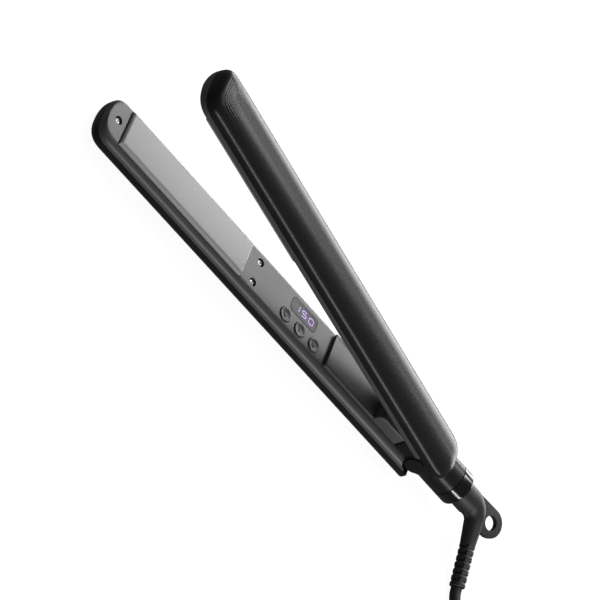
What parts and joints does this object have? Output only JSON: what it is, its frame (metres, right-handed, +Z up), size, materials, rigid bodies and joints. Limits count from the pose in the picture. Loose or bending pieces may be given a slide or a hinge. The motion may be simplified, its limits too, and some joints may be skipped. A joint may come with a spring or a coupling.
{
  "type": "flat iron",
  "caption": "Slim hair straightener: spring-opened arms with floating ceramic plates, small display and buttons, and a swivel mains lead with a hang loop.",
  "frame": {"origin": "on the floor, midway along the iron between the tips and the rear of the collar ring, on its long centre plane", "axes": "+X from the tips to the lead, +Z up, controls on the -Y side"},
  "size_m": [0.5167, 0.0935, 0.0896],
  "materials": {
    "casing_plastic": "charcoal heat-proof plastic with a fine satin texture",
    "cover_plastic": "charcoal satin plastic, a little lighter than the casing",
    "inner_plastic": "plain moulded black plastic",
    "rubber": "matte black moulded rubber",
    "gloss_ring": "polished black",
    "display_window": "smoked window with a satin face",
    "display_glow": "violet light segments",
    "ceramic_plate": "grey ceramic coating with a fine sparkle, satin",
    "screw_steel": "bright plated steel",
    "spring_steel": "plain steel",
    "circuit_board": "green board lacquer",
    "heater": "insulating film over the heater",
    "contact_brass": "plain brass",
    "tie_fabric": "black hook-and-loop tape"
  },
  "bodies": {
    "lower_arm": {"lower_shell": "casing_plastic", "lower_inner_cover": "cover_plastic", "lower_tip_screw": "screw_steel", "lower_rear_screw_left": "screw_steel", "lower_rear_screw_right": "screw_steel", "lower_plate_carrier": "inner_plastic", "lower_front_plate_spring": "spring_steel", "lower_rear_plate_spring": "spring_steel", "plus_switch": "inner_plastic", "minus_switch": "inner_plastic", "power_switch": "inner_plastic", "display_window": "display_window", "display_module": "display_glow", "control_board": "circuit_board", "wiring_loom": "rubber", "hinge_hub": "casing_plastic", "hinge_cover": "cover_plastic", "opening_spring": "spring_steel", "hinge_pin": "spring_steel", "left_pivot_cap": "casing_plastic", "right_pivot_cap": "casing_plastic", "collar_ring": "gloss_ring", "swivel_bush": "contact_brass", "cord_lead": "rubber", "cord_hank": "rubber", "cord_tail": "rubber", "hank_tie": "tie_fabric", "plug_body": "rubber", "plug_pin_left": "screw_steel", "plug_pin_right": "screw_steel"},
    "upper_arm": {"upper_shell": "casing_plastic", "upper_inner_cover": "cover_plastic", "upper_tip_screw": "screw_steel", "upper_rear_screw_left": "screw_steel", "upper_rear_screw_right": "screw_steel", "upper_plate_carrier": "inner_plastic", "upper_front_plate_spring": "spring_steel", "upper_rear_plate_spring": "spring_steel", "hinge_bracket": "spring_steel"},
    "lower_plate": {"lower_heating_plate": "ceramic_plate", "lower_heater_element": "heater", "lower_pressure_clip": "spring_steel", "lower_thermistor": "contact_brass"},
    "upper_plate": {"upper_heating_plate": "ceramic_plate", "upper_heater_element": "heater", "upper_pressure_clip": "spring_steel", "upper_thermal_fuse": "contact_brass"},
    "plus_key": {"plus_button": "cover_plastic"},
    "minus_key": {"minus_button": "cover_plastic"},
    "power_key": {"power_button": "cover_plastic"},
    "cord_swivel": {"swivel_boot": "rubber", "swivel_spindle": "contact_brass"}
  },
  "joints": [
    {"name": "arm_hinge", "type": "hinge", "parent": "lower_arm", "child": "upper_arm", "pos_m": [0.12035, 0, 0.0174], "axis": [0, 1, 0], "range_deg": [-11.8, 0], "stiffness_Nm_per_rad": 0.5, "springref_deg": 28.65, "deforming": ["opening_spring"]},
    {"name": "lower_plate_float", "type": "slide", "parent": "lower_arm", "child": "lower_plate", "axis": [0, 0, -1], "range_m": [0, 0.001], "stiffness_N_per_m": 3000, "springref_m": -0.002, "deforming": ["lower_front_plate_spring", "lower_rear_plate_spring"]},
    {"name": "upper_plate_float", "type": "slide", "parent": "upper_arm", "child": "upper_plate", "axis": [0.2045, 0, 0.9789], "range_m": [0, 0.001], "stiffness_N_per_m": 3000, "springref_m": -0.002, "deforming": ["upper_front_plate_spring", "upper_rear_plate_spring"]},
    {"name": "plus_press", "type": "slide", "parent": "lower_arm", "child": "plus_key", "axis": [0, 0, -1], "range_m": [0, 0.0004], "stiffness_N_per_m": 500, "springref_m": -0.001},
    {"name": "minus_press", "type": "slide", "parent": "lower_arm", "child": "minus_key", "axis": [0, 0, -1], "range_m": [0, 0.0004], "stiffness_N_per_m": 500, "springref_m": -0.001},
    {"name": "power_press", "type": "slide", "parent": "lower_arm", "child": "power_key", "axis": [0, 0, -1], "range_m": [0, 0.0004], "stiffness_N_per_m": 500, "springref_m": -0.001},
    {"name": "cord_swivel_turn", "type": "hinge", "parent": "lower_arm", "child": "cord_swivel", "pos_m": [0.15, 0, 0.0174], "axis": [-1, 0, 0], "continuous": true}
  ]
}
